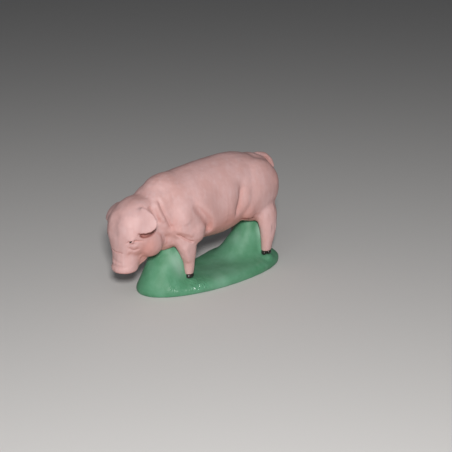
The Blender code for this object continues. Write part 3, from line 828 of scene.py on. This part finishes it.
class Paint:
    """Builds one material's nodes; each call adds a node and returns its output."""

    NOISE_ROUGHNESS = 0.55

    def __init__(self, name):
        self.material = bpy.data.materials.new(name)
        self.material.use_nodes = True
        self.tree = self.material.node_tree
        self.shader = self.tree.nodes["Principled BSDF"]
        self.space = self.tree.nodes.new("ShaderNodeTexCoord").outputs["Object"]

    def stretched(self, scale):
        node = self.tree.nodes.new("ShaderNodeMapping")
        node.inputs["Scale"].default_value = scale
        self.tree.links.new(self.space, node.inputs["Vector"])
        return node.outputs["Vector"]

    def noise(self, size, detail=3.0, scale=(1, 1, 1)):
        node = self.tree.nodes.new("ShaderNodeTexNoise")
        node.inputs["Scale"].default_value = 1 / size
        node.inputs["Detail"].default_value = detail
        node.inputs["Roughness"].default_value = self.NOISE_ROUGHNESS
        self.tree.links.new(self.stretched(scale), node.inputs["Vector"])
        return node.outputs["Fac"]

    def attribute(self, name):
        node = self.tree.nodes.new("ShaderNodeAttribute")
        node.attribute_name = name
        return node.outputs["Fac"]

    def span(self, value, low, high, to_low=0.0, to_high=1.0):
        node = self.tree.nodes.new("ShaderNodeMapRange")
        node.inputs["From Min"].default_value = low
        node.inputs["From Max"].default_value = high
        node.inputs["To Min"].default_value = to_low
        node.inputs["To Max"].default_value = to_high
        self.tree.links.new(value, node.inputs["Value"])
        return node.outputs["Result"]

    def times(self, first, second):
        node = self.tree.nodes.new("ShaderNodeMath")
        node.operation = "MULTIPLY"
        self.tree.links.new(first, node.inputs[0])
        self.tree.links.new(second, node.inputs[1])
        return node.outputs["Value"]

    def blend(self, share, first, second):
        node = self.tree.nodes.new("ShaderNodeMix")
        node.data_type = "RGBA"
        self.tree.links.new(share, node.inputs["Factor"])
        for place, value in ((MIX_FIRST, first), (MIX_SECOND, second)):
            socket = node.inputs[place]
            if isinstance(value, tuple):
                socket.default_value = (*value, 1)
            else:
                self.tree.links.new(value, socket)
        return node.outputs[MIX_RESULT]

    def bump(self, height, strength, distance, under=None):
        node = self.tree.nodes.new("ShaderNodeBump")
        node.inputs["Strength"].default_value = strength
        node.inputs["Distance"].default_value = distance
        self.tree.links.new(height, node.inputs["Height"])
        if under is not None:
            self.tree.links.new(under, node.inputs["Normal"])
        return node.outputs["Normal"]

    def use(self, **outputs):
        """Links the outputs to the shader's sockets of those names. The material comes back."""
        for name, output in outputs.items():
            self.tree.links.new(output, self.shader.inputs[name.replace("_", " ")])
        return self.material


def pink_paint():
    """Matte pink: patchy and brushed; redder where blushed; painted shade where it faces down, is
    closed in or lies in a crease; painted shadow dark in the gaps.
    """
    paint = Paint("pink_paint")
    patches = paint.span(paint.noise(7 * MM), 0.35, 0.65)
    colour = paint.blend(patches, PINK, PINK_LIGHT)
    brushed = paint.span(paint.noise(1.3 * MM, scale=UPRIGHT_STREAKS), 0.50, 0.70, 0, 0.4)
    colour = paint.blend(brushed, colour, PINK_BRUSHED)
    # Blush: brushed-on red, partly painted shade.
    blush_and_shade = paint.span(paint.attribute("blush_and_shade"), 0, 1, 0, 0.75)
    colour = paint.blend(blush_and_shade, colour, PINK_BLUSH_AND_SHADE)
    # Painted shade in hollows.
    closed = paint.span(paint.attribute("shade_in_hollows"), 0.05, 0.65, 0, 0.8)
    colour = paint.blend(closed, colour, PINK_HOLLOW_SHADE)
    # Painted shade in creases, painted shadow in gaps.
    painted_crease_shade = paint.span(paint.attribute("painted_crease_shade"), 0.05, 1.0, 0, 0.95)
    colour = paint.blend(painted_crease_shade, colour, PINK_CREASE_SHADE)
    colour = paint.blend(paint.attribute("hoof_paint"), colour, HEEL_BLACK)
    rough = paint.span(paint.noise(2.5 * MM), 0.3, 0.7, 0.52, 0.68)
    grain = paint.noise(0.22 * MM, detail=2)
    brushing = paint.noise(0.8 * MM, scale=UPRIGHT_BRUSHING)
    normal = paint.bump(grain, 0.2, 0.03 * MM)
    normal = paint.bump(brushing, 0.12, 0.05 * MM, normal)
    return paint.use(Base_Color=colour, Roughness=rough, Normal=normal)


def green_paint():
    """Green, streaked and brushed pale in places, partly as painted highlights, with glossy ripples
    where it ran thick.
    """
    paint = Paint("green_paint")
    patches = paint.span(paint.noise(5 * MM), 0.35, 0.65)
    colour = paint.blend(patches, GREEN, GREEN_LIGHT)
    streaks = paint.span(paint.noise(2.2 * MM, scale=UPRIGHT_STREAKS), 0.54, 0.74, 0, 0.4)
    colour = paint.blend(streaks, colour, GREEN_STREAK)
    # Pale marks, partly painted highlights.
    pale = paint.span(paint.attribute("pale"), 0, 1, 0, 0.8)
    colour = paint.blend(pale, colour, GREEN_PALE_AND_HIGHLIGHT)
    gloss = paint.attribute("gloss")
    rough = paint.span(gloss, 0, 1, 0.58, 0.12)
    grain = paint.noise(0.45 * MM, detail=2)
    brushing = paint.noise(1.3 * MM, scale=UPRIGHT_BRUSHING)
    normal = paint.bump(brushing, 0.2, 0.06 * MM)
    normal = paint.bump(grain, 0.35, 0.06 * MM, normal)
    ripples = paint.times(gloss, paint.noise(0.9 * MM, detail=2))
    normal = paint.bump(ripples, 1.0, 0.5 * MM, normal)
    return paint.use(Base_Color=colour, Roughness=rough, Normal=normal)


def black_paint():
    """Worn black with some gloss, for the hooves and eyes."""
    paint = Paint("black_paint")
    worn = paint.span(paint.noise(0.6 * MM), 0.45, 0.7, 0, 0.6)
    colour = paint.blend(worn, BLACK, BLACK_WORN)
    rough = paint.span(paint.noise(0.5 * MM), 0.3, 0.7, 0.2, 0.42)
    normal = paint.bump(paint.noise(0.25 * MM), 0.3, 0.03 * MM)
    return paint.use(Base_Color=colour, Roughness=rough, Normal=normal)


# --- Setting -----------------------------------------------------------------------------
# Each lamp's place in metres from the origin (towards the camera, to its right, up), its size
# in metres, its power in watts and its colour.
LAMPS = {
    "key": ((0.45, 0.02, 0.07), 0.045, 1.68, (1, 0.98, 0.96)),
    "fill": ((0.45, -0.05, 0.20), 0.30, 0.25, (0.95, 0.97, 1)),
}
LAMPS_AIM = Vector((0, 0, 18 * MM))
WORLD_COLOUR = (0.8, 0.82, 0.85)
WORLD_STRENGTH = 0.09
FLOOR_SIZE = 40  # metres
FLOOR_COLOUR = (0.68, 0.67, 0.66)
FLOOR_ROUGHNESS = 0.8


def camera():
    """The camera. Its right, up and backward directions come back for the lamps."""
    turn, lift = math.radians(VIEW_ROUND), math.radians(VIEW_UP)
    flat = math.cos(lift)
    back = Vector((math.sin(turn) * flat, -math.cos(turn) * flat, math.sin(lift)))
    right = Vector((math.cos(turn), math.sin(turn), 0))
    up = back.cross(right)
    data = bpy.data.cameras.new("camera")
    data.sensor_width = SENSOR
    data.lens = LENS
    data.clip_start = 0.01
    data.clip_end = 10
    obj = linked("camera", data)
    looked_at = right * VIEW_SHIFT[0] + up * VIEW_SHIFT[1]
    turned = Matrix((right, up, back)).transposed().to_4x4()
    obj.matrix_world = Matrix.Translation(looked_at + back * VIEW_DISTANCE) @ turned
    bpy.context.scene.camera = obj
    return right, up, back


def lamp(name, place, size, power, colour):
    """A square lamp turned to the figurine's middle."""
    data = bpy.data.lights.new(name, "AREA")
    data.size = size
    data.energy = power
    data.color = colour
    obj = linked(name, data)
    obj.location = place
    aim = LAMPS_AIM - place
    obj.rotation_euler = aim.to_track_quat("-Z", "Y").to_euler()


def studio(right, up, back):
    """A small key lamp just above the camera, a wide weak fill higher up and a dim world."""
    for name, (offsets, size, power, colour) in LAMPS.items():
        behind, aside, above = offsets
        lamp(name, back * behind + right * aside + up * above, size, power, colour)
    world = bpy.data.worlds.new("world")
    bpy.context.scene.world = world
    world.use_nodes = True
    background = world.node_tree.nodes["Background"]
    background.inputs["Color"].default_value = (*WORLD_COLOUR, 1)
    background.inputs["Strength"].default_value = WORLD_STRENGTH
    bpy.context.scene.view_settings.view_transform = "Standard"


def floor():
    """A wide plain grey floor under the figurine."""
    bpy.ops.mesh.primitive_plane_add(size=FLOOR_SIZE)
    obj = bpy.context.object
    obj.name = "floor"
    material = bpy.data.materials.new("floor_grey")
    material.use_nodes = True
    shader = material.node_tree.nodes["Principled BSDF"]
    shader.inputs["Base Color"].default_value = (*FLOOR_COLOUR, 1)
    shader.inputs["Roughness"].default_value = FLOOR_ROUGHNESS
    obj.data.materials.append(material)


# --- Assembly ----------------------------------------------------------------------------
def main():
    """The paints, the pieces in them, and the setting around."""
    pink, green, black = pink_paint(), green_paint(), black_paint()
    pig = pig_skin()
    pig.data.materials.append(pink)
    base_skin(pig).data.materials.append(green)
    for side in SIDES:
        eye(f"eye_{side}", pig).data.materials.append(black)
        for end, (turn, cleft) in HOOVES.items():
            hoof(f"hoof_{end}_{side}", turn, cleft).data.materials.append(black)
    studio(*camera())
    floor()


main()
